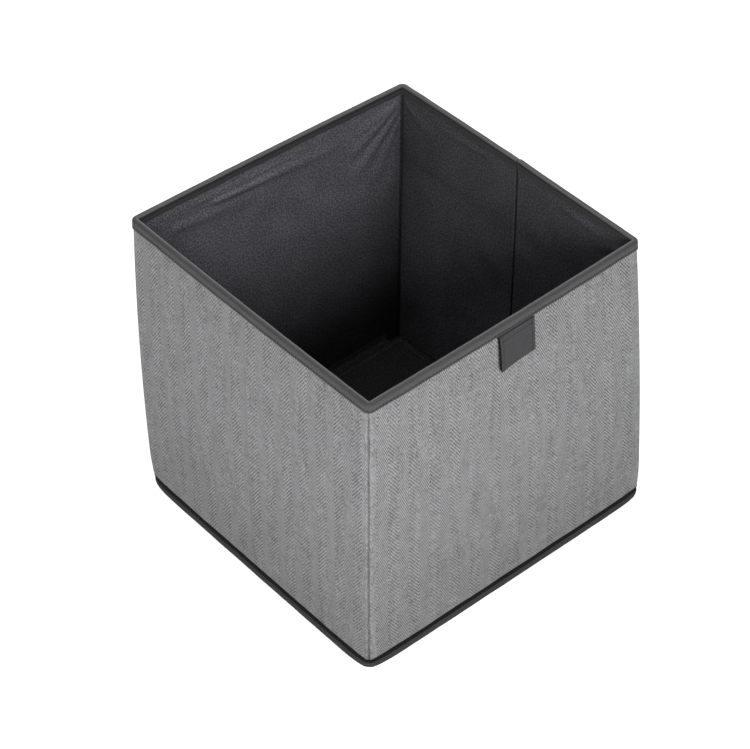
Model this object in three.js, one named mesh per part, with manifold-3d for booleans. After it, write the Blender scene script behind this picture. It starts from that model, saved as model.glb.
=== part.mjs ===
// A folding fabric storage bin: an open cube of board-stiffened fabric walls with a bound rim,
// a bound base edge, a covered base board that swings up, and a tape pull tab.
// Millimetres, +Z up. The origin is on the floor at the middle of the base; the front faces -Y.
import * as THREE from "three";
import { mergeVertices } from "three/addons/utils/BufferGeometryUtils.js";
import Module from "manifold-3d";

const wasm = await Module();
wasm.setup();

// ---- Driving dimensions ----

const BODY_WIDTH = 297; // X, over the outer fabric
const BODY_DEPTH = 297; // Y, over the outer fabric
const BIN_HEIGHT = 298; // floor to the top of the rim binding

const CLEARANCE = 0.3; // between pieces that touch
const OUTER_FABRIC = 0.8; // herringbone cloth
const WALL_BOARD = 1.5; // greyboard stiffener in the walls
const LINING_FABRIC = 0.6; // non-woven lining
const BOTTOM_FABRIC = 0.8; // non-woven bottom panel

const BINDING_TAPE = 0.8; // thickness of the folded edge tape
const RIM_BINDING_LEG = 9; // how far the rim binding comes down, inside and out
const BASE_BINDING_LEG = 8; // how far the base binding comes up the walls
const BASE_BINDING_FOOT = 9; // how far the base binding reaches in under the bottom panel
const CORNER_RADIUS = 2; // outer corners of both bindings, in plan

const BOARD_CORNER_GAP = 5; // from an outer face to the end of the next wall's board
const CREASE_GAP = 4; // between the two half boards of a folding side wall
const BOARD_RIM_GAP = 2; // from the rim binding's fold down to the boards' top edge
const BOARD_FOOT_GAP = 2; // from the bottom panel up to the boards' bottom edge

const THREAD = 0.5; // stitched line, seen as one raised cord
const RIM_STITCH_INSET = 2.2; // stitch line above the rim binding's lower edge
const BASE_STITCH_INSET = 1.8; // stitch line below the base binding's upper edge
const CREASE_SEAM = 1.6; // width of the folded seam between two half boards

const BASE_CORE = 2.0; // greyboard in the base board
const BASE_COVER_FABRIC = 0.6;
const BASE_SIDE_GAP = 7; // base board to the lining, left and right
const BASE_END_GAP = 3.5; // base board to the lining, front and back
const BASE_STITCH_MARGIN = 5; // stitch line in from the base board's edge
const HINGE_FLAP_END_GAP = 12; // hinge flap shorter than the base board, each end

const TAB_WIDTH = 39;
const TAB_LENGTH = 35; // below the rim binding
const TAB_THICKNESS = 2.0; // tape folded double
const TAB_OFFSET = 6; // +X of the middle of the front
const TAB_STITCH_DROP = 5; // tab stitching below the top of the tab

// ---- Sizes that follow ----

const HALF_WIDTH = BODY_WIDTH / 2;
const HALF_DEPTH = BODY_DEPTH / 2;

// Depth of each layer's outer side, measured in from the outer fabric's face.
const BOARD_IN = OUTER_FABRIC + CLEARANCE;
const LINING_IN = BOARD_IN + WALL_BOARD + CLEARANCE;
const WALL_THICKNESS = LINING_IN + LINING_FABRIC;

const BINDING_OUT = CLEARANCE + BINDING_TAPE; // a binding's face outside the outer fabric
const RIM_INNER_LEG_IN = WALL_THICKNESS + CLEARANCE;

const BOTTOM_Z = BINDING_TAPE + CLEARANCE; // underside of the bottom panel
const BOTTOM_TOP_Z = BOTTOM_Z + BOTTOM_FABRIC;
const WALL_Z = BOTTOM_TOP_Z + CLEARANCE; // lower edge of the wall cloth
const WALL_TOP_Z = BIN_HEIGHT - BINDING_TAPE - CLEARANCE;
const BOARD_Z = BOTTOM_TOP_Z + BOARD_FOOT_GAP;
const BOARD_TOP_Z = BIN_HEIGHT - BINDING_TAPE - BOARD_RIM_GAP;
const RIM_BINDING_Z = BIN_HEIGHT - RIM_BINDING_LEG;

const BASE_HALF_WIDTH = HALF_WIDTH - WALL_THICKNESS - BASE_SIDE_GAP;
const BASE_HALF_DEPTH = HALF_DEPTH - WALL_THICKNESS - BASE_END_GAP;
const BASE_Z = BOTTOM_TOP_Z + CLEARANCE;
const BASE_CORE_Z = BASE_Z + BASE_COVER_FABRIC + CLEARANCE;
const BASE_COVER_Z = BASE_CORE_Z + BASE_CORE + CLEARANCE; // underside of the top cover
const BASE_TOP_Z = BASE_COVER_Z + BASE_COVER_FABRIC;

const TAB_TOP_Z = RIM_BINDING_Z - CLEARANCE;
const TAB_Y = -HALF_DEPTH - CLEARANCE - TAB_THICKNESS / 2; // middle of its thickness

// ---- Materials ----

function cloth(color, roughness) {
  return new THREE.MeshStandardMaterial({ color, roughness, metalness: 0 });
}

const HERRINGBONE_FRONT = () => cloth(0x8e8e90, 0.95);
const LINING_CLOTH = () => cloth(0x2a2a2c, 0.95);
const BINDING_CLOTH = () => cloth(0x4a4a4c, 0.85);
const TAB_CLOTH = () => cloth(0x545456, 0.9);
const BOARD_PAPER = () => cloth(0x9b958a, 0.9);
const STITCHING = () => cloth(0x3c3c3e, 0.7);

// ---- Shape helpers ----

function squareRectangle(width, depth) {
  const x = width / 2;
  const y = depth / 2;
  const shape = new THREE.Shape();
  shape.moveTo(-x, -y);
  shape.lineTo(x, -y);
  shape.lineTo(x, y);
  shape.lineTo(-x, y);
  return shape;
}

function roundedRectangle(width, depth, r) {
  const x = width / 2;
  const y = depth / 2;
  const shape = new THREE.Shape();
  shape.moveTo(-x + r, -y);
  shape.lineTo(x - r, -y);
  shape.absarc(x - r, -y + r, r, -Math.PI / 2, 0, false);
  shape.lineTo(x, y - r);
  shape.absarc(x - r, y - r, r, 0, Math.PI / 2, false);
  shape.lineTo(-x + r, y);
  shape.absarc(-x + r, y - r, r, Math.PI / 2, Math.PI, false);
  shape.lineTo(-x, -y + r);
  shape.absarc(-x + r, -y + r, r, Math.PI, Math.PI * 1.5, false);
  return shape;
}

// The body's outline in plan, grown by an outset from the outer fabric's faces. A negative outset
// lies inside the wall. Corners are round from the bindings' faces outwards, and square inside.
function outline(outset) {
  const width = BODY_WIDTH + 2 * outset;
  const depth = BODY_DEPTH + 2 * outset;
  if (outset < BINDING_OUT) {
    return squareRectangle(width, depth);
  }
  return roundedRectangle(width, depth, CORNER_RADIUS + outset - BINDING_OUT);
}

function plateBetween(shape, low, high) {
  const made = new THREE.ExtrudeGeometry(shape, {
    depth: high - low,
    bevelEnabled: false,
    curveSegments: 4,
  });
  return made.translate(0, 0, low);
}

function ringBetween(outset, holeOutset, low, high) {
  const shape = outline(outset);
  shape.holes.push(outline(holeOutset));
  return plateBetween(shape, low, high);
}

function solidOf(geometry) {
  const bare = geometry.clone();
  bare.deleteAttribute("normal");
  bare.deleteAttribute("uv");
  const merged = mergeVertices(bare, 1e-4);
  return new wasm.Manifold(
    new wasm.Mesh({
      numProp: 3,
      vertProperties: new Float32Array(merged.attributes.position.array),
      triVerts: new Uint32Array(merged.index.array),
    }),
  );
}

function geometryOf(solid) {
  const mesh = solid.getMesh();
  const made = new THREE.BufferGeometry();
  made.setAttribute("position", new THREE.BufferAttribute(mesh.vertProperties, 3));
  made.setIndex(new THREE.BufferAttribute(mesh.triVerts, 1));
  made.computeVertexNormals();
  return made;
}

function joined(geometries) {
  const whole = geometries.map(solidOf).reduce((sum, next) => sum.add(next));
  return geometryOf(whole);
}

function cut(geometry, tool) {
  return geometryOf(solidOf(geometry).subtract(solidOf(tool)));
}

// A box between its lowest and highest corners.
function slab(low, high) {
  const size = high.map((value, i) => value - low[i]);
  const middle = high.map((value, i) => (value + low[i]) / 2);
  return new THREE.BoxGeometry(...size).translate(...middle);
}

// The four walls. A wall's slab is laid out with its length along X and its outer face at -Y,
// then turned about Z into its place.
const WALLS = {
  front: { turn: 0, length: BODY_WIDTH, reach: HALF_DEPTH },
  right: { turn: Math.PI / 2, length: BODY_DEPTH, reach: HALF_WIDTH },
  back: { turn: Math.PI, length: BODY_WIDTH, reach: HALF_DEPTH },
  left: { turn: -Math.PI / 2, length: BODY_DEPTH, reach: HALF_WIDTH },
};

// A slab of one wall: from start to end along it, and from near to far in from its outer face.
function wallSlab(side, start, end, near, far, low, high) {
  const wall = WALLS[side];
  const made = slab([start, -wall.reach + near, low], [end, -wall.reach + far, high]);
  return made.rotateZ(wall.turn);
}

// ---- Assembly ----

const group = new THREE.Group();

function addPiece(name, geometry, material) {
  const mesh = new THREE.Mesh(geometry, material);
  mesh.name = name;
  group.add(mesh);
}

// Outer cloth: the front and back panels lap the ends of the side panels.
function addOuterFabric() {
  for (const side of Object.keys(WALLS)) {
    const laps = side === "front" || side === "back";
    const half = WALLS[side].length / 2 - (laps ? 0 : OUTER_FABRIC + CLEARANCE);
    const panel = wallSlab(side, -half, half, 0, OUTER_FABRIC, WALL_Z, WALL_TOP_Z);
    addPiece(`outer_fabric_${side}`, panel, HERRINGBONE_FRONT());
  }
}

function addLining() {
  for (const side of Object.keys(WALLS)) {
    const laps = side === "front" || side === "back";
    const inset = laps ? LINING_IN : WALL_THICKNESS + CLEARANCE;
    const half = WALLS[side].length / 2 - inset;
    const panel = wallSlab(side, -half, half, LINING_IN, WALL_THICKNESS, WALL_Z, WALL_TOP_Z);
    addPiece(`lining_${side}`, panel, LINING_CLOTH());
  }
}

// One whole board in the front and in the back; two half boards in each side wall, so that the
// side can crease down its middle.
function addWallBoards() {
  const board = (name, side, start, end) => {
    const made = wallSlab(side, start, end, BOARD_IN, BOARD_IN + WALL_BOARD, BOARD_Z, BOARD_TOP_Z);
    addPiece(name, made, BOARD_PAPER());
  };
  for (const side of ["front", "back"]) {
    const half = WALLS[side].length / 2 - BOARD_CORNER_GAP;
    board(`${side}_board`, side, -half, half);
  }
  for (const side of ["left", "right"]) {
    const half = WALLS[side].length / 2 - BOARD_CORNER_GAP;
    // Along a turned wall, its own +X points to the back on the right and to the front on the left.
    const [low, high] = side === "right" ? ["front", "rear"] : ["rear", "front"];
    board(`${side}_${low}_board`, side, -half, -CREASE_GAP / 2);
    board(`${side}_${high}_board`, side, CREASE_GAP / 2, half);
  }
}

// The folded seam that each side wall creases along, between its half boards.
function addCreaseSeams() {
  for (const side of ["left", "right"]) {
    const half = CREASE_SEAM / 2;
    const seam = wallSlab(side, -half, half, BOARD_IN, BOARD_IN + WALL_BOARD, BOARD_Z, BOARD_TOP_Z);
    addPiece(`${side}_crease_seam`, seam, STITCHING());
  }
}

// The seam allowance and thread inside each upright corner, between the ends of the boards. It is
// as thick as the boards, so it lies between the outer cloth and the lining as they do.
function addCornerSeams() {
  const half = WALL_BOARD / 2;
  const offset = BOARD_IN + half;
  for (const [yName, ySign] of [["front", -1], ["back", 1]]) {
    for (const [xName, xSign] of [["left", -1], ["right", 1]]) {
      const x = xSign * (HALF_WIDTH - offset);
      const y = ySign * (HALF_DEPTH - offset);
      const seam = slab([x - half, y - half, BOARD_Z], [x + half, y + half, BOARD_TOP_Z]);
      addPiece(`${yName}_${xName}_corner_seam`, seam, STITCHING());
    }
  }
}

// A channel of tape folded over the rim: an outer leg, an inner leg and the fold that joins them.
function addRimBinding() {
  const foldZ = BIN_HEIGHT - BINDING_TAPE;
  const outerLeg = ringBetween(BINDING_OUT, CLEARANCE, RIM_BINDING_Z, BIN_HEIGHT);
  const innerFace = -RIM_INNER_LEG_IN - BINDING_TAPE;
  const innerLeg = ringBetween(-RIM_INNER_LEG_IN, innerFace, RIM_BINDING_Z, BIN_HEIGHT);
  const fold = ringBetween(BINDING_OUT, innerFace, foldZ, BIN_HEIGHT);
  addPiece("rim_binding", joined([outerLeg, innerLeg, fold]), BINDING_CLOTH());
}

// Tape folded round the bottom edge: up the outside of the walls, and in under the bottom panel.
function addBaseBinding() {
  const leg = ringBetween(BINDING_OUT, CLEARANCE, 0, BASE_BINDING_LEG);
  const foot = ringBetween(BINDING_OUT, -BASE_BINDING_FOOT, 0, BINDING_TAPE);
  addPiece("base_binding", joined([leg, foot]), BINDING_CLOTH());
}

function addBottomPanel() {
  addPiece("bottom_panel", plateBetween(outline(0), BOTTOM_Z, BOTTOM_TOP_Z), LINING_CLOTH());
}

// Stitched lines through the bindings, each a raised cord round the outside.
function addBindingThreads() {
  const face = BINDING_OUT + CLEARANCE;
  const thread = (low) => ringBetween(face + THREAD, face, low, low + THREAD);
  addPiece("rim_binding_thread", thread(RIM_BINDING_Z + RIM_STITCH_INSET), STITCHING());
  const baseStitchZ = BASE_BINDING_LEG - BASE_STITCH_INSET - THREAD;
  addPiece("base_binding_thread", thread(baseStitchZ), STITCHING());
}

// The loose base: a board in a cloth cover, sewn round its edge, with a flap of the cover along
// the back that it swings on.
function addBaseBoard() {
  const plate = (inset, low, high) => {
    const x = BASE_HALF_WIDTH - inset;
    const y = BASE_HALF_DEPTH - inset;
    return slab([-x, -y, low], [x, y, high]);
  };
  const skin = BASE_COVER_FABRIC;
  const coreInset = skin + CLEARANCE;
  const core = plate(coreInset, BASE_CORE_Z, BASE_CORE_Z + BASE_CORE);
  addPiece("base_board_core", core, BOARD_PAPER());

  const lid = plate(0, BASE_Z + skin + CLEARANCE, BASE_TOP_Z);
  addPiece("base_cover_top", cut(lid, plate(skin, BASE_Z, BASE_COVER_Z)), LINING_CLOTH());
  addPiece("base_cover_bottom", plate(0, BASE_Z, BASE_Z + skin), LINING_CLOTH());

  const stitchZ = BASE_TOP_Z + CLEARANCE;
  const stitched = plate(BASE_STITCH_MARGIN, stitchZ, stitchZ + THREAD);
  const inside = plate(BASE_STITCH_MARGIN + THREAD, stitchZ - THREAD, stitchZ + 2 * THREAD);
  addPiece("base_cover_thread", cut(stitched, inside), STITCHING());

  const flapHalf = BASE_HALF_WIDTH - HINGE_FLAP_END_GAP;
  const flapBack = BASE_HALF_DEPTH + BASE_END_GAP - CLEARANCE;
  const flap = slab(
    [-flapHalf, BASE_HALF_DEPTH + CLEARANCE, BASE_TOP_Z - skin],
    [flapHalf, flapBack, BASE_TOP_Z],
  );
  addPiece("base_hinge_flap", flap, LINING_CLOTH());
}

// The pull tab hangs from under the rim binding. Its top end is round about the line it flexes on.
function addPullTab() {
  const r = TAB_THICKNESS / 2;
  const outline = new THREE.Shape();
  outline.moveTo(-r, r - TAB_LENGTH);
  outline.lineTo(r, r - TAB_LENGTH);
  outline.lineTo(r, 0);
  outline.absarc(0, 0, r, 0, Math.PI, false);
  const tab = new THREE.ExtrudeGeometry(outline, {
    depth: TAB_WIDTH,
    bevelEnabled: false,
    curveSegments: 8,
  });
  // The outline's x becomes the tab's depth in Y, its y the height, and the extrusion its width.
  tab.rotateX(Math.PI / 2);
  tab.rotateZ(Math.PI / 2);
  const startX = TAB_OFFSET - TAB_WIDTH / 2;
  tab.translate(startX, TAB_Y, TAB_TOP_Z - r);
  addPiece("pull_tab", tab, TAB_CLOTH());

  const threadY = TAB_Y - r - CLEARANCE;
  const threadTop = TAB_TOP_Z - TAB_STITCH_DROP;
  const margin = 2;
  const thread = slab(
    [startX + margin, threadY - THREAD, threadTop - THREAD],
    [startX + TAB_WIDTH - margin, threadY, threadTop],
  );
  addPiece("pull_tab_thread", thread, STITCHING());
}

addOuterFabric();
addWallBoards();
addLining();
addCreaseSeams();
addCornerSeams();
addBottomPanel();
addRimBinding();
addBaseBinding();
addBindingThreads();
addBaseBoard();
addPullTab();

export default group;
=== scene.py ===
import math

import bmesh
import bpy
import numpy as np
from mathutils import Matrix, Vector


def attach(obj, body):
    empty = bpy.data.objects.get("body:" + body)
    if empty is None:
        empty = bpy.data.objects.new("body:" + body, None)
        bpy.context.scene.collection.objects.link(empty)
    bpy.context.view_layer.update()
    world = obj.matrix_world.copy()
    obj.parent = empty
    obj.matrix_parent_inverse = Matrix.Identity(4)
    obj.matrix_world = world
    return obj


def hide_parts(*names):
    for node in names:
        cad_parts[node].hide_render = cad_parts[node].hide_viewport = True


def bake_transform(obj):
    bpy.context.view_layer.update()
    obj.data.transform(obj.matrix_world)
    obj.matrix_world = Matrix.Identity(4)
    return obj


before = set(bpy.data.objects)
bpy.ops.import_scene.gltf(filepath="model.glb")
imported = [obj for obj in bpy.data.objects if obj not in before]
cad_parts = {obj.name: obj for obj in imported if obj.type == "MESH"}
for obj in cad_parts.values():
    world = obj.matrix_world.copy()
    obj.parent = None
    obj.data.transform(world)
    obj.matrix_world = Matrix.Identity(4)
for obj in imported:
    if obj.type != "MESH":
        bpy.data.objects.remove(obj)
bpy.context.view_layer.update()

# Lengths in this script are millimetres until a mesh is made. Depth is measured in from the outer
# cloth's face, so it is negative outside it.
MM = 0.001
HALF = 148.5  # half the body over the outer cloth
HEIGHT = 298.0
CORNER = 4.6  # plan radius of the outer cloth's corners
CLOTH_Z, CLOTH_TOP = 2.2, 296.9
BOARD_Z, BOARD_TOP = 3.9, 295.2

# ---- Camera ----

cam = bpy.data.objects.new("camera", bpy.data.cameras.new("camera"))
bpy.context.scene.collection.objects.link(cam)
cam.data.lens = 115.7
cam.data.sensor_width = 36.0
cam.data.clip_end = 60.0
cam.location = (-0.986, -1.155, 1.532)
cam.rotation_euler = [math.radians(a) for a in (47.48, 0.85, -40.84)]
bpy.context.scene.camera = cam

# ---- The bin's lean, bow and waviness ----

# How far each corner of the cloth box stands from the square, at the rim and at the foot.
RIM_LEAN = {
    (-1, -1): (2.6, 0.8, -0.2),
    (1, -1): (-4.4, 4.0, -0.2),
    (1, 1): (-0.8, -1.4, -2.5),
    (-1, 1): (3.6, 2.4, 0.7),
}
FOOT_LEAN = {
    (-1, -1): (-5.0, -0.6, 0.0),
    (1, -1): (14.3, -4.1, 0.0),
    (1, 1): (-3.0, 6.0, 0.0),
    (-1, 1): (-4.9, 0.9, 0.0),
}
# How far each upright corner swells outwards at half height.
WAIST = {
    (-1, -1): (-0.4, -0.4, 0.0),
    (1, -1): (1.7, -1.3, 0.0),
    (1, 1): (0.5, 0.5, 0.0),
    (-1, 1): (-2.4, 2.0, 0.0),
}
RIM_BOW = 1.1  # the walls stand out this much at the middle of the rim
FOOT_BOW = 0.3
FOOT_TUCK = 0.7  # the walls draw in this much at the foot
TUCK_HEIGHT = 26.0
FOOT_ROUND = 4.4  # the foot's corners are pulled in, so that they are rounder than the rim's
ROUND_HEIGHT = 40.0
DIAGONAL = 0.7  # share of a move along a corner's diagonal that goes to each axis


def lean(points):
    """The shell's points, leaned and bowed as an empty cloth box stands."""
    p = np.array(points, float)
    x, y, z = p[..., 0] / HALF, p[..., 1] / HALF, p[..., 2] / HEIGHT
    bow = FOOT_BOW + (RIM_BOW - FOOT_BOW) * np.clip(z, 0, 1)
    tuck = FOOT_TUCK * np.clip(1 - p[..., 2] / TUCK_HEIGHT, 0, 1) ** 2
    out = p.copy()
    out[..., 0] += bow * x * np.clip(1 - y * y, 0, 1) - tuck * x
    out[..., 1] += bow * y * np.clip(1 - x * x, 0, 1) - tuck * y
    pull = FOOT_ROUND * np.clip(np.abs(x * y), 0, 1) ** 14 * np.clip(1 - p[..., 2] / ROUND_HEIGHT, 0, 1) ** 2
    out[..., 0] -= pull * np.sign(x) * DIAGONAL
    out[..., 1] -= pull * np.sign(y) * DIAGONAL
    for leans, share in ((RIM_LEAN, z), (FOOT_LEAN, 1 - z), (WAIST, 4 * z * (1 - z))):
        for (sx, sy), move in leans.items():
            weight = (1 + sx * x) * (1 + sy * y) / 4 * share
            out += weight[..., None] * np.array(move)
    return out


CREASE_LEAN = (9.5, -0.0455)  # the right wall's crease: its place at the foot, and its slope


def crease_line(side, z):
    """Where the crease of a side wall runs: the right wall's leans to the rear as it goes down."""
    start, slope = CREASE_LEAN if side == "right" else (0.0, 0.0)
    return start + slope * z


def waves(a, b, seed, length):
    """A smooth, repeatable waviness between about -1 and 1 over two coordinates in millimetres."""
    rng = np.random.default_rng(seed)
    total = np.zeros(np.broadcast(a, b).shape)
    for _ in range(7):
        turn = rng.uniform(0, 2 * math.pi)
        pace = 2 * math.pi / (length * rng.uniform(0.6, 1.7))
        total += np.sin(pace * (a * math.cos(turn) + b * math.sin(turn)) + rng.uniform(0, 6.28))
    return total / 3.2


# ---- Mesh helpers ----


def quads(nu, nv, wrap_u=False, wrap_v=False):
    """The corners, as indices along u and along v, of each quad of a grid of nu by nv points."""
    a, b = np.meshgrid(
        np.arange(nu if wrap_u else nu - 1), np.arange(nv if wrap_v else nv - 1), indexing="ij"
    )
    a, b = a.ravel(), b.ravel()
    return np.stack([a, a + 1, a + 1, a], 1), np.stack([b, b, b + 1, b + 1], 1)


def thin_sheet(front, back, uv):
    """A closed sheet between two grids of points. uv is the cloth's coordinates on the grid."""
    nu, nv = front.shape[:2]
    count = nu * nv
    cu, cv = quads(nu, nv)
    near = cu * nv + cv
    faces = [near, count + near[:, ::-1]]
    uvs = [uv[cu, cv], uv[cu, cv][:, ::-1]]
    border = (
        [(i, 0) for i in range(nu - 1)]
        + [(nu - 1, j) for j in range(nv - 1)]
        + [(i, nv - 1) for i in range(nu - 1, 0, -1)]
        + [(0, j) for j in range(nv - 1, 0, -1)]
    )
    edge = np.array([i * nv + j for i, j in border])
    nxt = np.roll(edge, -1)
    faces.append(np.stack([nxt, edge, edge + count, nxt + count], 1))
    flat = uv.reshape(-1, 2)
    uvs.append(np.stack([flat[nxt], flat[edge], flat[edge], flat[nxt]], 1))
    points = np.concatenate([front.reshape(-1, 3), back.reshape(-1, 3)])
    return points, np.concatenate(faces), np.concatenate(uvs)


def loft(points, along, across):
    """A closed ring of sections: points is stations by section points, both of them closed loops.
    along and across are the cloth's coordinates, with one value more than the points."""
    ns, nc = points.shape[:2]
    cu, cv = quads(ns, nc, True, True)
    faces = (cu % ns) * nc + cv % nc
    return points.reshape(-1, 3), faces, np.stack([along[cu], across[cv]], -1)


def add_piece(name, parts, material, sharp=35.0):
    """One object from mesh parts in millimetres: points, quads and a cloth coordinate per corner."""
    points, faces, uvs, start = [], [], [], 0
    for part_points, part_faces, part_uv in parts:
        points.append(part_points)
        faces.append(part_faces + start)
        uvs.append(part_uv)
        start += len(part_points)
    points, faces, uvs = np.concatenate(points) * MM, np.concatenate(faces), np.concatenate(uvs)
    mesh = bpy.data.meshes.new(name)
    mesh.vertices.add(len(points))
    mesh.vertices.foreach_set("co", points.astype(np.float32).ravel())
    mesh.loops.add(faces.size)
    mesh.loops.foreach_set("vertex_index", faces.astype(np.int32).ravel())
    mesh.polygons.add(len(faces))
    mesh.polygons.foreach_set("loop_start", np.arange(0, faces.size, 4, dtype=np.int32))
    mesh.update(calc_edges=True)
    layer = mesh.uv_layers.new(name="Weave")
    layer.data.foreach_set("uv", (uvs * MM).astype(np.float32).ravel())
    mesh.validate()
    bm = bmesh.new()
    bm.from_mesh(mesh)
    bmesh.ops.recalc_face_normals(bm, faces=bm.faces)
    bm.to_mesh(mesh)
    bm.free()
    mesh.polygons.foreach_set("use_smooth", [True] * len(mesh.polygons))
    mesh.set_sharp_from_angle(angle=math.radians(sharp))
    mesh.materials.append(material)
    obj = bpy.data.objects.new(name, mesh)
    bpy.context.scene.collection.objects.link(obj)
    return obj


# The walls, each laid out with its length along X and its outer face at -Y, then turned.
TURNS = {"front": 0.0, "right": math.pi / 2, "back": math.pi, "left": -math.pi / 2}


def on_wall(side, s, depth, z):
    """Points of a wall from the distance along it, the depth and the height."""
    turn = TURNS[side]
    c, k = math.cos(turn), math.sin(turn)
    x, y = np.broadcast_arrays(s, -HALF + depth)
    x, y, z = np.broadcast_arrays(c * x - k * y, k * x + c * y, z)
    return np.stack([x, y, z], -1).astype(float)


STITCH_RINGS = 7
STITCH_SIDES = 6


def hexagon_caps(last):
    """Quads that close a six-sided tube: its first ring, and the ring that starts at point last."""
    near = [[0, 1, 2, 3], [0, 3, 4, 5]]
    far = [[last + 3, last + 2, last + 1, last], [last + 5, last + 4, last + 3, last]]
    return np.array(near + far)


def stitch(start, end, out, radius, arch):
    """One stitch from start to end: a thread that rises out of the cloth and dips back into it."""
    start, end, out = (np.array(a, float) for a in (start, end, out))
    along = end - start
    side = np.cross(along, out)
    side /= np.linalg.norm(side)
    pts = np.zeros((STITCH_RINGS, STITCH_SIDES, 3))
    for i, t in enumerate(np.linspace(0, 1, STITCH_RINGS)):
        rise = math.sin(math.pi * t)
        centre = start + along * t + out * (arch * rise - arch * 0.45)
        r = radius * (0.35 + 0.65 * rise**0.5)
        for j in range(STITCH_SIDES):
            a = 2 * math.pi * j / STITCH_SIDES
            pts[i, j] = centre + r * (side * math.cos(a) + out * math.sin(a))
    cu, cv = quads(STITCH_RINGS, STITCH_SIDES, False, True)
    tube = cu * STITCH_SIDES + cv % STITCH_SIDES
    faces = np.concatenate([tube, hexagon_caps((STITCH_RINGS - 1) * STITCH_SIDES)])
    uv = np.zeros((len(faces), 4, 2))
    uv[..., 0] = faces // STITCH_SIDES * 0.4
    uv[..., 1] = faces % STITCH_SIDES * 0.2
    return pts.reshape(-1, 3), faces, uv


def stitch_row(path, outs, pitch, length, radius, arch, closed=False):
    """Stitches along a line of points, each with the direction out of the cloth there."""
    path = np.array(path, float)
    outs = np.array(outs, float)
    if closed:
        path = np.concatenate([path, path[:1]])
        outs = np.concatenate([outs, outs[:1]])
    far = np.concatenate([[0], np.cumsum(np.linalg.norm(np.diff(path, axis=0), axis=1))])
    count = int(far[-1] // pitch)
    step = far[-1] / count

    def at(where, what):
        return np.array([np.interp(where, far, what[:, k]) for k in range(3)])

    parts = []
    for i in range(count):
        begin = (i + 0.5) * step - length / 2
        middle = at(begin + length / 2, outs)
        out = middle / np.linalg.norm(middle)
        parts.append(stitch(at(begin, path), at(begin + length, path), out, radius, arch))
    return parts


def outline(half_x, half_y, radius, straight, arc=8):
    """A rectangle's outline in plan with round corners: points, and the normals out of it."""
    points, normals = [], []
    corners = [(1, -1, -90), (1, 1, 0), (-1, 1, 90), (-1, -1, 180)]
    for k, (sx, sy, first) in enumerate(corners):
        cx, cy = sx * (half_x - radius), sy * (half_y - radius)
        for a in np.linspace(first, first + 90, arc + 1):
            n = (math.cos(math.radians(a)), math.sin(math.radians(a)))
            points.append((cx + radius * n[0], cy + radius * n[1]))
            normals.append(n)
        nx, ny, turn = corners[(k + 1) % 4]
        end = (nx * (half_x - radius), ny * (half_y - radius))
        n = (math.cos(math.radians(first + 90)), math.sin(math.radians(first + 90)))
        begin = np.array(points[-1])
        end = np.array(end) + radius * np.array(n)
        for t in np.linspace(0, 1, straight + 1)[1:-1]:
            points.append(tuple(begin + (end - begin) * t))
            normals.append(n)
    return np.array(points), np.array(normals)


RING_STRAIGHT = 96  # pieces in each straight side of a ring
SHARPEST = 0.5  # the least corner radius in plan


def body_ring(depth):
    """The body's outline in plan at a depth: its corners are round outside, nearly sharp inside."""
    half = HALF - depth
    return outline(half, half, max(SHARPEST, CORNER - depth), RING_STRAIGHT)


def lengths(points):
    """Distance along a closed line of points, with the closing value at the end."""
    closed = np.concatenate([points, points[:1]])
    return np.concatenate([[0], np.cumsum(np.linalg.norm(np.diff(closed, axis=0), axis=1))])


# ---- Materials ----


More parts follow.
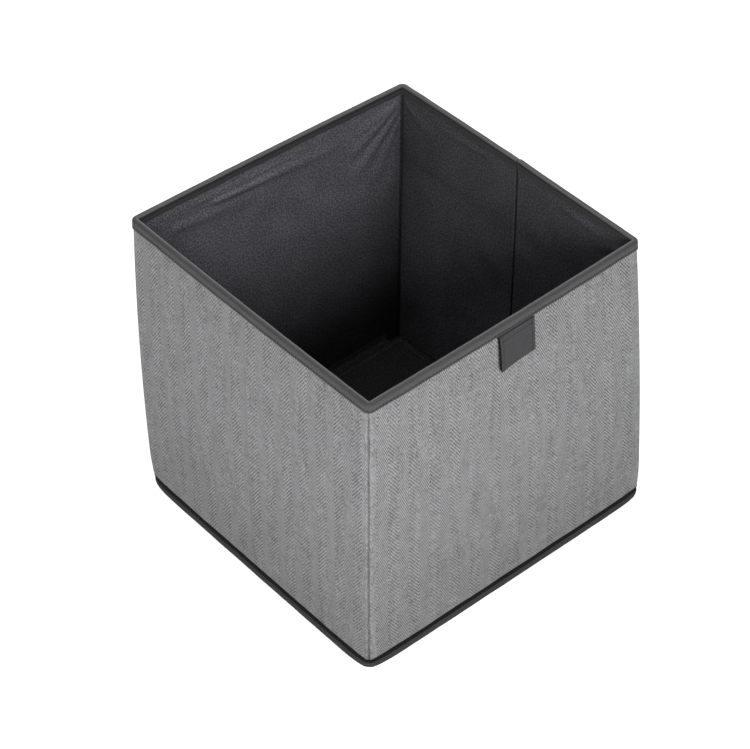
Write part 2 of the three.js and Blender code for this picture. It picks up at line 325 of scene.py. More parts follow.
class Nodes:
    """Short calls for building one material's nodes."""

    def __init__(self, name):
        self.material = bpy.data.materials.new(name)
        self.material.use_nodes = True
        self.tree = self.material.node_tree
        self.shader = self.tree.nodes["Principled BSDF"]

    def put(self, socket, value):
        if isinstance(value, bpy.types.NodeSocket):
            self.tree.links.new(value, socket)
        else:
            socket.default_value = value

    def math(self, operation, a, b=0.0, c=0.0):
        node = self.tree.nodes.new("ShaderNodeMath")
        node.operation = operation
        for socket, value in zip(node.inputs, (a, b, c)):
            self.put(socket, value)
        return node.outputs[0]

    def cloth(self):
        """The cloth's coordinates in millimetres: along, across."""
        uv = self.tree.nodes.new("ShaderNodeUVMap")
        uv.uv_map = "Weave"
        split = self.tree.nodes.new("ShaderNodeSeparateXYZ")
        self.put(split.inputs[0], uv.outputs[0])
        along, across = (self.math("MULTIPLY", split.outputs[k], 1 / MM) for k in (0, 1))
        return along, across

    def noise(self, x, y, x_scale, y_scale, z=0.0, detail=2.0, rough=0.5):
        """Noise from 0 to 1 about 0.5 over x and y, each with its scale. z picks another layer."""
        join = self.tree.nodes.new("ShaderNodeCombineXYZ")
        places = (self.math("MULTIPLY", x, x_scale), self.math("MULTIPLY", y, y_scale), z)
        for socket, value in zip(join.inputs, places):
            self.put(socket, value)
        node = self.tree.nodes.new("ShaderNodeTexNoise")
        node.noise_dimensions = "3D"
        self.put(node.inputs["Vector"], join.outputs[0])
        node.inputs["Scale"].default_value = 1.0
        node.inputs["Detail"].default_value = detail
        node.inputs["Roughness"].default_value = rough
        return node.outputs["Fac"]

    def add_noise(self, value, noise, amount):
        """A value with noise of that height added, half of it below and half above."""
        return self.math("ADD", value, self.math("MULTIPLY_ADD", noise, amount, -amount / 2))

    def clamp(self, value, high=1.0):
        return self.math("MINIMUM", self.math("MAXIMUM", value, 0.0), high)

    def ramp(self, value, start, end):
        """0 where the value is at start, rising to 1 at end and beyond."""
        return self.clamp(self.math("DIVIDE", self.math("SUBTRACT", value, start), end - start))

    def vary(self, value, mask, change):
        """A value scaled by 1 + change where the mask is 1."""
        return self.math("MULTIPLY", value, self.math("MULTIPLY_ADD", mask, change, 1.0))

    def mix(self, factor, dark, light):
        node = self.tree.nodes.new("ShaderNodeMix")
        node.data_type = "RGBA"
        self.put(node.inputs["Factor"], factor)
        self.put(node.inputs["A"], node_color(dark))
        self.put(node.inputs["B"], node_color(light))
        return next(o for o in node.outputs if o.type == "RGBA")

    def scale_color(self, color, factor):
        node = self.tree.nodes.new("ShaderNodeVectorMath")
        node.operation = "SCALE"
        self.put(node.inputs[0], color)
        self.put(node.inputs["Scale"], factor)
        return node.outputs[0]

    def shade(self, color, mask, change):
        """A colour scaled by 1 + change where the mask is 1."""
        return self.scale_color(color, self.math("MULTIPLY_ADD", mask, change, 1.0))

    def finish(self, color, rough, height, depth_mm, sheen=0.0, gloss=0.25):
        self.put(self.shader.inputs["Base Color"], color)
        self.put(self.shader.inputs["Roughness"], rough)
        self.shader.inputs["Sheen Weight"].default_value = sheen
        self.shader.inputs["Specular IOR Level"].default_value = gloss
        bump = self.tree.nodes.new("ShaderNodeBump")
        bump.inputs["Strength"].default_value = 1.0
        bump.inputs["Distance"].default_value = depth_mm * MM
        self.put(bump.inputs["Height"], height)
        self.put(self.shader.inputs["Normal"], bump.outputs[0])
        return self.material


def node_color(value):
    return (*value, 1.0) if isinstance(value, tuple) and len(value) == 3 else value


COLUMN = 10.6  # width of one herringbone column
YARN = 0.65  # warp yarn pitch
TWILL = 4.0  # height of one twill repeat
SEAM_AT = 146.4  # from the wall's middle to its corner seam's line on the outer cloth
PALE_BAND_AT = 140.8  # and to the pale band beside that, a painted highlight down the rounded corner
CLOTH_FOOT_SHADE = (150.0, 20.0)  # painted shade: the outer cloth darkens from the first height down to the second


def herringbone(name, shift, lift=1.0, strong=1.0, crease=0.0):
    """Grey two-up two-down herringbone. shift moves the columns along the wall, strong is the direction of
    the columns whose twill shows more, lift scales the colour as painted light, and crease paints shade on
    the middle line."""
    n = Nodes(name)
    u, v = n.cloth()
    place = n.math("ABSOLUTE", u)
    seam = n.math("LESS_THAN", SEAM_AT, place)
    # Painted highlight: hem is the pale band beside the corner seam. It is made paler for the light on the
    # rounded corner, and its twill is weaker.
    hem = n.math("SUBTRACT", n.math("LESS_THAN", PALE_BAND_AT, place), seam)
    # Painted shade along the middle line, where the side walls' crease runs.
    fold = n.math("LESS_THAN", place, 0.8)
    # Yarns wander a little, and the weave is never quite straight.
    wander = n.math("MULTIPLY_ADD", n.noise(u, v, 0.03, 0.02), 2.4, -1.2)
    u = n.math("ADD", n.math("ADD", u, shift), wander)
    column = n.math("PINGPONG", u, COLUMN)
    yarns = n.math("DIVIDE", column, YARN)
    step = n.math("MULTIPLY", n.math("FLOOR", yarns), 0.25)
    phase = n.math("ADD", n.math("DIVIDE", n.math("ADD", v, wander), TWILL), step)
    wave = n.math("SINE", n.math("MULTIPLY", phase, 2 * math.pi))
    across = n.math("SINE", n.math("MULTIPLY", n.math("FRACT", yarns), math.pi))
    float_up = n.math("MULTIPLY_ADD", wave, 0.5, 0.5)
    yarn_id = n.math("FLOOR", n.math("DIVIDE", u, YARN))
    slub = n.noise(yarn_id, v, 0.73, 0.16, 3.1, 3.0, 0.65)
    pick_id = n.math("FLOOR", v)
    weft = n.noise(u, pick_id, 0.14, 0.77, 9.4, 3.0, 0.65)
    fuzz = n.noise(u, v, 2.2, 1.9, 5.0, 2.0, 0.7)
    patch = n.noise(u, v, 0.13, 0.02, 1.0, 3.0, 0.6)
    fade = n.noise(u, v, 0.08, 0.016, 7.0, 3.0, 0.65)
    # The twill shows in patches, more in every other column, and less in the pale band and at the seam.
    turned = n.math("SINE", n.math("MULTIPLY", u, math.pi / COLUMN))
    strength = n.math("MULTIPLY_ADD", fade, 2.9, -0.55)
    strength = n.vary(strength, n.math("SIGN", turned), 0.42 * strong)
    strength = n.vary(strength, hem, -0.55)
    strength = n.vary(strength, seam, -0.8)
    value = n.math("ADD", n.math("MULTIPLY", n.math("SUBTRACT", float_up, 0.5), strength), 0.43)
    for noise, amount in ((across, 0.16), (slub, 1.3), (weft, 0.9), (fuzz, 1.0), (patch, 0.6)):
        value = n.add_noise(value, noise, amount)
    color = n.mix(n.clamp(value, 1.3), (0.04, 0.04, 0.041), (0.214, 0.214, 0.218))
    # Painted shade: the colour darkens towards the foot; lift scales the whole panel as painted light.
    shade = n.math("MULTIPLY_ADD", n.ramp(v, *CLOTH_FOOT_SHADE), -0.19 * lift, lift)
    # hem gets a painted highlight, fold gets painted shade by crease, and the seam line is darker.
    for mask, change in ((seam, -0.26), (hem, 0.1), (fold, -crease)):
        shade = n.vary(shade, mask, change)
    color = n.scale_color(color, shade)
    height = n.math("MULTIPLY_ADD", across, 0.35, n.math("ADD", float_up, n.math("MULTIPLY", fuzz, 0.5)))
    return n.finish(color, 0.92, height, 0.16, sheen=0.05)


LINING_SEAM_AT = 142.9  # from a lining's middle to the dark line at its corner seam, painted shade in the inside corner
CORNER_SHADE = (96.0, 144.0)  # a lining is darker towards its corners, over this distance
UNDER_RIM = (285.0, 225.0)  # and that shade comes in below the rim, between these heights
LINING_LIGHT_FADE = (70.0, 220.0)  # heights between which low passes into high, as painted light and shade


def nonwoven(name, base, lift, low=1.0, high=1.0, wall=False, crease=None):
    """Pressed fibre cloth: fine speckle, faint blotches and a fibre bump. low and high scale its
    colour at the foot and at the rim, as painted light and shade. A wall's cloth has painted shade towards
    and along its corner seams and along its crease, and painted light and shade on the upper and lower sides
    of its folds."""
    n = Nodes(name)
    u, v = n.cloth()
    speck = n.noise(u, v, 0.55, 0.55, 0.0, 3.0, 0.85)
    fibre = n.noise(u, v, 0.55, 2.6, 4.0, 3.0, 0.7)
    blotch = n.noise(u, v, 0.035, 0.035, 2.0, 3.0, 0.55)
    value = n.math("MULTIPLY_ADD", speck, 4.6, -1.8)
    value = n.add_noise(value, fibre, 0.7)
    value = n.add_noise(value, blotch, 0.5)
    color = n.mix(n.math("MULTIPLY", n.clamp(value, 1.6), 0.625), base, lift)
    if wall:
        place = n.math("ABSOLUTE", u)
        corner = n.math("MULTIPLY", n.ramp(place, *CORNER_SHADE), n.ramp(v, *UNDER_RIM))
        color = n.shade(color, corner, -0.4)
        # Painted shade: a dark line in the inside corner, along the seam.
        color = n.shade(color, n.math("LESS_THAN", LINING_SEAM_AT, place), -0.65)
        if crease:
            # Painted shade: a dark line in the groove along the crease.
            away = n.math("MULTIPLY_ADD", v, -crease[1], n.math("SUBTRACT", u, crease[0]))
            color = n.shade(color, n.math("LESS_THAN", n.math("ABSOLUTE", away), 1.0), -0.75)
        # Painted light and shade: the upper side of each fold is made paler and the lower side darker.
        slope = n.tree.nodes.new("ShaderNodeAttribute")
        slope.attribute_name = "slope"
        color = n.shade(color, slope.outputs["Fac"], 0.75)
    # Painted light and shade: the colour is scaled from low at the foot to high at the rim.
    if low != high:
        color = n.scale_color(color, n.math("MULTIPLY_ADD", n.ramp(v, *LINING_LIGHT_FADE), high - low, low))
    rough = n.math("MULTIPLY_ADD", fibre, 0.2, 0.7)
    return n.finish(color, rough, n.math("ADD", speck, fibre), 0.22, sheen=0.02, gloss=0.1)


TONE_EDGE = 0.6  # half the width over which one tone of a tape passes into the next
LINE_HALF = 0.8  # half the width of a tape's line


def woven_tape(name, base, lift, rib=0.9, tones=(), lines=(), tone_on=1, sheen=0.06, gloss=0.25):
    """Edge tape: fine ribs across, small diagonal ticks, a little wear and lint. tones are
    (place, scale) pairs of painted light and shade: the colour's scale changes to each at that place, across
    the tape if tone_on is 1 and along it if 0. lines are (place, scale) pairs of dark lines on the other
    coordinate, some of them painted shade."""
    n = Nodes(name)
    u, v = n.cloth()
    toned, lined = (v, u) if tone_on else (u, v)
    ribs = n.math("SINE", n.math("MULTIPLY", v, 2 * math.pi / rib))
    ticks = n.math("SINE", n.math("MULTIPLY", n.math("MULTIPLY_ADD", v, 0.8, u), 2 * math.pi / 1.3))
    lint = n.noise(u, v, 0.35, 1.4, 0.0, 4.0, 0.7)
    long = n.noise(u, v, 0.02, 0.1, 6.0, 2.0, 0.5)
    value = n.math("MULTIPLY_ADD", ribs, 0.12, 0.5)
    value = n.math("ADD", value, n.math("MULTIPLY", ticks, 0.12))
    value = n.add_noise(value, lint, 1.5)
    value = n.add_noise(value, long, 0.5)
    color = n.mix(n.clamp(value), base, lift)
    shade = 1.0
    last = 1.0
    # Painted light and shade: each tone scales the colour from its place on.
    for place, scale in tones:
        step = n.ramp(toned, place - TONE_EDGE, place + TONE_EDGE)
        shade = n.math("MULTIPLY_ADD", step, scale - last, shade)
        last = scale
    if tones:
        color = n.scale_color(color, shade)
    for place, scale in lines:
        away = n.math("ABSOLUTE", n.math("SUBTRACT", lined, place))
        color = n.shade(color, n.math("LESS_THAN", away, LINE_HALF), scale - 1.0)
    height = n.math("ADD", n.math("MULTIPLY", ribs, 0.5), n.math("MULTIPLY_ADD", ticks, 0.4, lint))
    return n.finish(color, 0.8, height, 0.12, sheen, gloss)


def greyboard(name):
    n = Nodes(name)
    u, v = n.cloth()
    fibre = n.noise(u, v, 0.6, 1.8, 0.0, 4.0, 0.7)
    fleck = n.noise(u, v, 0.15, 0.15, 3.0, 3.0, 0.6)
    value = n.math("MULTIPLY_ADD", fibre, 0.8, n.math("MULTIPLY", fleck, 0.3))
    color = n.mix(value, (0.2, 0.185, 0.16), (0.42, 0.4, 0.36))
    return n.finish(color, 0.9, fibre, 0.15)


def twisted_thread(name, base, lift):
    n = Nodes(name)
    u, v = n.cloth()
    twist = n.math("SINE", n.math("MULTIPLY", n.math("ADD", u, v), 9.0))
    color = n.mix(n.math("MULTIPLY_ADD", twist, 0.4, 0.5), base, lift)
    return n.finish(color, 0.8, twist, 0.05, gloss=0.1)


OUTER = {
    "front": herringbone("herringbone_front", 1.5, strong=-1.0),
    # Painted light and shade: lift=1.04 makes the left panel paler for the light on that side, and
    # crease=0.14 paints shade along each side wall's crease.
    "left": herringbone("herringbone_left", 8.0, lift=1.04, crease=0.14),
    "right": herringbone("herringbone_right", 4.0, crease=0.14),
    "back": herringbone("herringbone_back", 6.0),
}
LINING_COLORS = (0.0168, 0.0168, 0.0194), (0.093, 0.093, 0.103)
LINING = {
    "front": nonwoven("lining_front", *LINING_COLORS, wall=True),
    "left": nonwoven("lining_left", *LINING_COLORS, wall=True, crease=(0.0, 0.0)),
    # Painted light and shade: the right lining is paler low down and darker at the rim, the back lining the
    # other way.
    "right": nonwoven("lining_right", *LINING_COLORS, low=3.2, high=0.74, wall=True, crease=CREASE_LEAN),
    "back": nonwoven("lining_back", *LINING_COLORS, low=0.95, high=1.17, wall=True),
}
BOTTOM_CLOTH = nonwoven("bottom_nonwoven", *LINING_COLORS)
# Painted light: the base cover's cloth is given a paler colour than the lining.
BASE_CLOTH = nonwoven("base_cover_nonwoven", (0.032, 0.032, 0.034), (0.12, 0.12, 0.126))
# Painted light and shade across the rim tape: a dark band by its lower edge, the outer face a little darker,
# a painted highlight along the inner top fold, a near-black band past it and a darker inner leg. The line at
# 147.1 is painted shade in the notch at the right wall's crease.
TAPE = woven_tape(
    "binding_tape", (0.0185, 0.0185, 0.0193), (0.05, 0.05, 0.0514),
    tones=((0.5, 0.45), (2.4, 0.88), (11.2, 1.9), (13.4, 0.14), (16.8, 0.42)), lines=((147.1, 0.12),),
)
# Painted light and shade: the base tape is near black over its groove at the top and inside, and a little
# paler on the roll below.
FOOT_TAPE = woven_tape(
    "base_binding_tape", (0.011, 0.011, 0.0118), (0.032, 0.032, 0.033),
    tones=((-3.0, 0.06), (4.6, 1.1), (36.0, 0.06)), sheen=0.0, gloss=0.08,
)
# Painted shadow: the line at -14.3 makes the under layer's strip left of the tab near black, as the shadow
# under its lifted edge. The other two lines run along the selvedges.
TAB_TAPE = woven_tape(
    "tab_tape", (0.0182, 0.0182, 0.0191), (0.04, 0.04, 0.042), rib=1.6,
    lines=((22.4, 0.68), (-10.8, 0.85), (-14.3, 0.02)), tone_on=0, sheen=0.0, gloss=0.12,
)
THREAD = twisted_thread("thread_dark", (0.006, 0.006, 0.0066), (0.02, 0.02, 0.0214))
COVER_THREAD = twisted_thread("thread_grey", (0.09, 0.09, 0.09), (0.3, 0.3, 0.29))
BOARD = greyboard("greyboard")

# ---- Outer cloth ----

CLOTH = 0.8
FABRIC_STEP = 3.0
# How a panel's end goes round its corner, from the seam: the angle turned, and the depth pulled in.
CORNER_TURN = [(44.7, 0.7), (43.9, 0.28), (41.0, 0.08), (35.0, 0), (26.0, 0), (18.0, 0), (9.0, 0)]


def cloth_row(depth):
    """One level of an outer panel: distances along the wall and depths, round both corners."""
    reach = HALF - CORNER
    ends = []
    for angle, inset in CORNER_TURN:
        a = math.radians(angle)
        r = CORNER - depth - inset
        ends.append((reach + r * math.sin(a), CORNER - r * math.cos(a)))
    count = int(2 * reach / FABRIC_STEP)
    middle = np.linspace(-reach, reach, count + 1)
    s = np.concatenate([[-e[0] for e in ends], middle, [e[0] for e in ends[::-1]]])
    d = np.concatenate([[e[1] for e in ends], np.full(count + 1, depth), [e[1] for e in ends[::-1]]])
    return s, d


SEEDS = {"front": 11, "right": 23, "back": 37, "left": 51}
CREASED = ("left", "right")


def bump(x, middle, width):
    """A rounded ridge of height 1."""
    return np.exp(-(((x - middle) / width) ** 2))


def add_outer_cloth(side):
    z = np.concatenate([np.linspace(CLOTH_Z, 30, 16), np.linspace(30, CLOTH_TOP, 90)[1:]])
    s_out, d_out = cloth_row(0.0)
    s_in, d_in = cloth_row(CLOTH)
    grid_s, grid_z = np.meshgrid(s_out, z, indexing="ij")
    window = np.clip(1 - (np.abs(grid_s) / (HALF - CORNER)) ** 6, 0, 1)
    free = np.clip((288 - grid_z) / 20, 0, 1) * np.clip((grid_z - 9) / 12, 0, 1)
    ripple = 0.22 * waves(grid_s, grid_z, SEEDS[side], 90.0)
    ripple += 0.07 * waves(grid_s, grid_z, SEEDS[side] + 1, 26.0)
    puff = 0.5 * bump(grid_z, 16.0, 4.0)  # the cloth swells over the base binding
    shift = -window * free * (ripple + 0.3) - puff
    if side in CREASED:
        # The fold line down the middle of a side wall.
        off = grid_s - crease_line(side, grid_z)
        shift += (0.45 * bump(off, 0.0, 1.1) - 0.12 * bump(np.abs(off), 3.2, 2.0)) * free
    front = lean(on_wall(side, s_out[:, None], d_out[:, None] + shift, grid_z))
    back = lean(on_wall(side, s_in[:, None], d_in[:, None] + shift, grid_z))
    along = np.concatenate([[0], np.cumsum(np.hypot(np.diff(s_out), np.diff(d_out)))])
    along -= along[-1] / 2
    uv = np.stack(np.meshgrid(along, z, indexing="ij"), -1)
    obj = add_piece(f"outer_cloth_{side}", [thin_sheet(front, back, uv)], OUTER[side])
    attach(obj, "shell")
    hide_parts(f"outer_fabric_{side}")


# ---- Lining ----

LINING_OUT, LINING_IN = 2.9, 3.5
SIDE_SHORTER = 0.3  # the side linings end this much short of the front and back ones
STANDING_BOARD = 142.1  # how far back the base board comes when it stands up
FULL_SWELL = 3.4
LEFT_SWELL = 1.1
# Soft folds in each lining: from and to, as (along the wall, height), then width and height.
FOLDS = {
    "back": [
        ((-143, 287), (-92, 266), 4.5, 1.3),
        ((-143, 284), (-84, 246), 5.5, 1.7),
        ((-142, 276), (-88, 218), 6.0, 1.5),
        ((-141, 262), (-112, 205), 6.0, 1.1),
        ((-139, 240), (-126, 170), 7.0, 0.8),
        ((64, 275), (-76, 266), 5.0, 1.4),
        ((104, 266), (10, 257), 7.0, 0.8),
        ((84, 283), (-40, 280), 4.0, 0.8),
        ((140, 262), (108, 226), 7.0, 0.9),
    ],
    "right": [
        ((-141, 284), (-100, 262), 4.0, 1.3),
        ((-141, 276), (-108, 244), 4.5, 1.5),
        ((-140, 262), (-118, 228), 5.0, 1.1),
        ((-60, 282), (-108, 279), 4.0, 0.8),
        ((138, 280), (108, 262), 5.0, 0.7),
        ((34, 282), (96, 277), 4.5, 0.6),
    ],
    "left": [
        ((-132, 283), (-20, 276), 5.0, 0.6),
        ((140, 282), (96, 258), 5.0, 1.2),
        ((140, 270), (112, 236), 6.0, 1.0),
        ((30, 281), (90, 275), 5.0, 0.8),
    ],
    "front": [
        ((-141, 282), (-100, 258), 5.0, 1.2),
        ((-141, 270), (-116, 236), 6.0, 1.0),
        ((141, 282), (104, 262), 5.0, 1.1),
        ((-70, 281), (60, 275), 5.0, 0.9),
    ],
}


def fold_height(s, z, begin, end, width, height):
    """A soft ridge along a line: full at its first end, and running out at the other."""
    a, b = np.array(begin, float), np.array(end, float)
    d = b - a
    t = np.clip(((s - a[0]) * d[0] + (z - a[1]) * d[1]) / (d @ d), 0, 1)
    away = np.hypot(s - a[0] - t * d[0], z - a[1] - t * d[1])
    spread = width * (0.55 + 0.75 * t)
    return 2.0 * height * np.exp(-((away / spread) ** 2)) * np.cos(t * math.pi / 2) ** 0.7


def lining_swell(side, s, z):
    """How far the lining stands in from the wall: folds under the rim and a slack belly."""
    free = np.clip((286.5 - z) / 6, 0, 1) ** 0.8
    ends = np.clip((143.5 - np.abs(s)) / 5, 0, 1)
    total = sum(fold_height(s, z, *fold) for fold in FOLDS[side])
    belly = 0.45 * (1 + waves(s, z, SEEDS[side] + 5, 120.0)) * np.clip((z - 10) / 30, 0, 1)
    fine = 0.12 * waves(s, z, SEEDS[side] + 6, 24.0)
    limit = LEFT_SWELL if side == "left" else FULL_SWELL
    swell = np.minimum(free * ends * (total + belly + fine), limit)
    if side in CREASED:
        # The crease holds the lining down on its line of stitches.
        off = s - crease_line(side, z)
        swell = swell * (1 - bump(off, 0.0, 3.0)) - bump(off, 0.0, 0.8) * np.clip((288 - z) / 4, 0, 1)
        swell += 0.35 * bump(np.abs(off), 2.6, 1.1) * free
    return swell


def add_lining(side):
    half = HALF - (LINING_IN + SIDE_SHORTER if side in CREASED else LINING_OUT)
    s = np.linspace(-half, half, 98)
    if side in CREASED:
        s = np.unique(np.concatenate([s, np.linspace(-8, 14, 61)]))
    z = np.concatenate([np.linspace(CLOTH_Z, 200, 50), np.linspace(200, CLOTH_TOP, 56)[1:]])
    grid_s, grid_z = np.meshgrid(s, z, indexing="ij")
    swell = lining_swell(side, grid_s, grid_z)
    if side == "back":
        # Room is left for the base board when it stands up against this wall.
        room = lean(on_wall(side, grid_s, LINING_IN, grid_z))[..., 1] - STANDING_BOARD
        swell *= np.clip(room / FULL_SWELL, 0.25, 1)
    inner = lean(on_wall(side, grid_s, LINING_IN + swell, grid_z))
    outer = lean(on_wall(side, grid_s, LINING_OUT + swell, grid_z))
    sheet = thin_sheet(outer, inner, np.stack([grid_s, grid_z], -1))
    obj = add_piece(f"lining_cloth_{side}", [sheet], LINING[side], 60)
    # The folds' slope, for the painted light and shade on their upper and lower sides.
    slope = np.clip(-np.gradient(swell, axis=1) / np.gradient(grid_z, axis=1), -0.45, 0.6)
    slope *= np.clip((284.0 - grid_z) / 6.0, 0, 1)
    layer = obj.data.attributes.new("slope", "FLOAT", "POINT")
    layer.data.foreach_set("value", np.tile(slope.ravel(), 2).astype(np.float32))
    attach(obj, "shell")
    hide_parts(f"lining_{side}")


# ---- Boards and seams inside the walls ----

BOARD_OUT, BOARD_IN = 1.1, 2.6  # depths of a wall board's faces
BOARD_END = 143.5  # where a wall's boards end, from its middle
BOARD_GAP = 2.0  # half the gap between the two half boards of a side wall


def add_wall_board(node, side, start, end):
    s = np.linspace(start, end, max(8, int((end - start) / 12)))
    z = np.linspace(BOARD_Z, BOARD_TOP, 26)
    grid_s, grid_z = np.meshgrid(s, z, indexing="ij")
    if side in CREASED:
        # The end by the crease follows it.
        grid_s = grid_s + crease_line(side, grid_z) * np.clip(1 - np.abs(grid_s) / 60.0, 0, 1)
    outer = lean(on_wall(side, grid_s, BOARD_OUT, grid_z))
    inner = lean(on_wall(side, grid_s, BOARD_IN, grid_z))
    uv = np.stack([grid_s, grid_z], -1)
    obj = add_piece(f"{node}_stiffener", [thin_sheet(outer, inner, uv)], BOARD)
    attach(obj, "shell")
    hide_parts(node)


def add_crease_seam(side):
    """A folded strip between the half boards, and the line of stitches that shows on the lining."""
    z = np.linspace(BOARD_Z, BOARD_TOP, 60)
    s = np.linspace(-0.8, 0.8, 5)
    grid_s, grid_z = np.meshgrid(s, z, indexing="ij")
    wave = 0.08 * np.sin(grid_z / 4.0) + crease_line(side, grid_z)
    outer = lean(on_wall(side, grid_s + wave, 1.12, grid_z))
    inner = lean(on_wall(side, grid_s + wave, 1.62, grid_z))
    parts = [thin_sheet(outer, inner, np.stack([grid_s, grid_z], -1))]
    line_z = np.linspace(14.0, 284.0, 60)
    line = lean(on_wall(side, crease_line(side, line_z), LINING_IN - 0.85, line_z))
    turn = TURNS[side]
    inward = np.array([-math.sin(turn), math.cos(turn), 0.0])
    parts += stitch_row(line, np.tile(inward, (60, 1)), 3.4, 2.7, 0.22, 0.2)
    obj = add_piece(f"{side}_crease_stitching", parts, THREAD)
    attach(obj, "shell")
    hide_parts(f"{side}_crease_seam")


def add_corner_seam(y_name, y_sign, x_name, x_sign):
    """Seam allowance folded flat inside an upright corner, with its thread wrapped along it."""
    z = np.linspace(BOARD_Z, BOARD_TOP, 90)
    middle = HALF - BOARD_OUT - 0.75
    section = [(-0.15, -0.15), (0.55, -0.66), (0.66, 0.1), (0.3, 0.6), (-0.25, 0.66), (-0.66, 0.5)]
    pts = np.zeros((len(z), len(section), 3))
    for i, height in enumerate(z):
        swell = 0.94 + 0.06 * math.sin(height * 1.7)
        for j, (a, b) in enumerate(section):
            pts[i, j] = (x_sign * (middle - a * swell), y_sign * (middle - b * swell), height)
    pts = lean(pts)
    nz, nc = pts.shape[:2]
    cu, cv = quads(nz, nc, False, True)
    faces = np.concatenate([cu * nc + cv % nc, hexagon_caps((nz - 1) * nc)])
    uv = np.stack([faces // nc * 3.2, faces % nc * 0.8], -1).astype(float)
    part = pts.reshape(-1, 3), faces, uv
    obj = add_piece(f"{y_name}_{x_name}_seam_allowance", [part], THREAD)
    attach(obj, "shell")
    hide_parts(f"{y_name}_{x_name}_corner_seam")


# ---- Bindings ----


SECTION_STEP = 0.9


def section_spacing(corners):
    """Points along a closed section, with more of them wherever a side is long."""
    out = []
    for k, a in enumerate(corners):
        b = corners[(k + 1) % len(corners)]
        count = max(1, int(math.dist(a, b) / SECTION_STEP))
        for i in range(count):
            out.append((a[0] + (b[0] - a[0]) * i / count, a[1] + (b[1] - a[1]) * i / count))
    return out


def ring_of_tape(name, section, wobble, material):
    """Tape that follows the body's outline. section is (depth, height) points; wobble moves them."""
    along = lengths(body_ring(0.0)[0])
    across = lengths(np.array(section))
    pts = np.zeros((len(along) - 1, len(section), 3))
    for j, (depth, height) in enumerate(section):
        points, normals = body_ring(depth)
        out, up = wobble(along[:-1], depth, height)
        pts[:, j, :2] = points + normals * out[:, None]
        pts[:, j, 2] = height + up
    return add_piece(name, [loft(lean(pts), along, across)], material, 50)


def wave_round(along, seed, length):
    """A waviness that closes on itself round the bin."""
    rng = np.random.default_rng(seed)
    total = np.zeros(len(along))
    whole = along[-1] + (along[-1] - along[-2])
    for _ in range(6):
        turns = max(1, int(whole / (length * rng.uniform(0.6, 1.6))))
        total += np.sin(2 * math.pi * turns * along / whole + rng.uniform(0, 6.28))
    return total / 3.0


RIM_EDGE = 289.2
RIM_STITCH = ((-0.95, 291.6, 1), (4.2, 291.4, -1))  # depth, height and outward sign of each line
BASE_STITCH = (-0.5, 9.4)


def stitch_ring(depth, height, sign, radius):
    """A line of stitches all round the body."""
    points, normals = body_ring(depth)
    line = lean(np.column_stack([points, np.full(len(points), height)]))
    outs = np.column_stack([normals * sign, np.zeros(len(points))])
    return stitch_row(line, outs, 3.6, 2.9, radius, 0.3, closed=True)


def add_rim_binding():
    # Depth and height: up the outer leg, over the fold, down the inner leg, and back inside.
    corners = [
        (-1.0, RIM_EDGE), (-1.1, 290.3), (-0.95, 291.6), (-1.1, 293.4), (-1.1, 295.8), (-0.85, 296.9),
        (-0.3, 297.5), (0.6, 297.9), (1.75, 298.0), (2.9, 297.85), (3.9, 297.4), (4.35, 296.6),
        (4.45, 295.2), (4.4, 293.0), (4.2, 291.4), (4.45, 290.4), (4.4, 289.5), (4.1, 289.2),
        (3.8, 289.5), (3.75, 291.4), (3.8, 296.2), (3.4, 297.0), (1.75, 297.15), (0.1, 297.0),
        (-0.3, 296.2), (-0.3, 291.2), (-0.3, RIM_EDGE + 0.3), (-0.7, RIM_EDGE - 0.1),
    ]
    section = section_spacing(corners)

    # The rim stands a little higher just in front of the right wall's crease.
    plan = body_ring(0.0)[0]
    past = crease_line("right", HEIGHT) - plan[:, 1]
    kink = np.where((plan[:, 0] > HALF - 0.01) & (past > 0), 1.3 * np.exp(-past / 22.0), 0.0)

    def wobble(along, depth, height):
        fold = np.clip((height - 290.0) / 8.0, 0, 1)
        out = 0.12 * wave_round(along, 3, 40.0) * (1 if depth < -0.6 else 0.15)
        up = 0.22 * wave_round(along, 4, 55.0) * (1 - fold) + 0.1 * wave_round(along, 5, 30.0) * fold
        return out, up + kink * fold

    obj = ring_of_tape("rim_tape", section, wobble, TAPE)
    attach(obj, "shell")
    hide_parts("rim_binding")
    parts = [part for row in RIM_STITCH for part in stitch_ring(*row, 0.27)]
    thread = add_piece("rim_stitches", parts, THREAD)
    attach(thread, "shell")
    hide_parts("rim_binding_thread")


def add_base_binding():
    # Depth and height: down the groove and over the roll, in under the foot, and back inside.
    corners = [
        (-0.75, 12.0), (-0.9, 11.2), (-0.65, 9.6), (-0.7, 8.2), (-1.5, 7.2), (-2.2, 5.4), (-2.4, 3.2),
        (-2.0, 1.3), (-1.1, 0.25), (0.0, 0.02), (1.5, 0.0), (8.6, 0.0), (9.0, 0.35), (8.6, 0.8),
        (1.5, 0.8), (-0.1, 0.85), (-0.9, 1.4), (-1.4, 2.6), (-1.3, 5.0), (-0.4, 7.0), (-0.3, 8.2),
        (-0.3, 11.6),
    ]
    section = section_spacing(corners)

    def wobble(along, depth, height):
        out = 0.12 * wave_round(along, 7, 45.0) * (1 if depth < -0.6 else 0.1)
        up = 0.3 * wave_round(along, 8, 60.0) * np.clip((height - 6) / 5, 0, 1)
        return out, up

    obj = ring_of_tape("base_tape", section, wobble, FOOT_TAPE)
    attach(obj, "shell")
    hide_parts("base_binding")
    thread = add_piece("base_stitches", stitch_ring(*BASE_STITCH, 1, 0.25), THREAD)
    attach(thread, "shell")
    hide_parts("base_binding_thread")


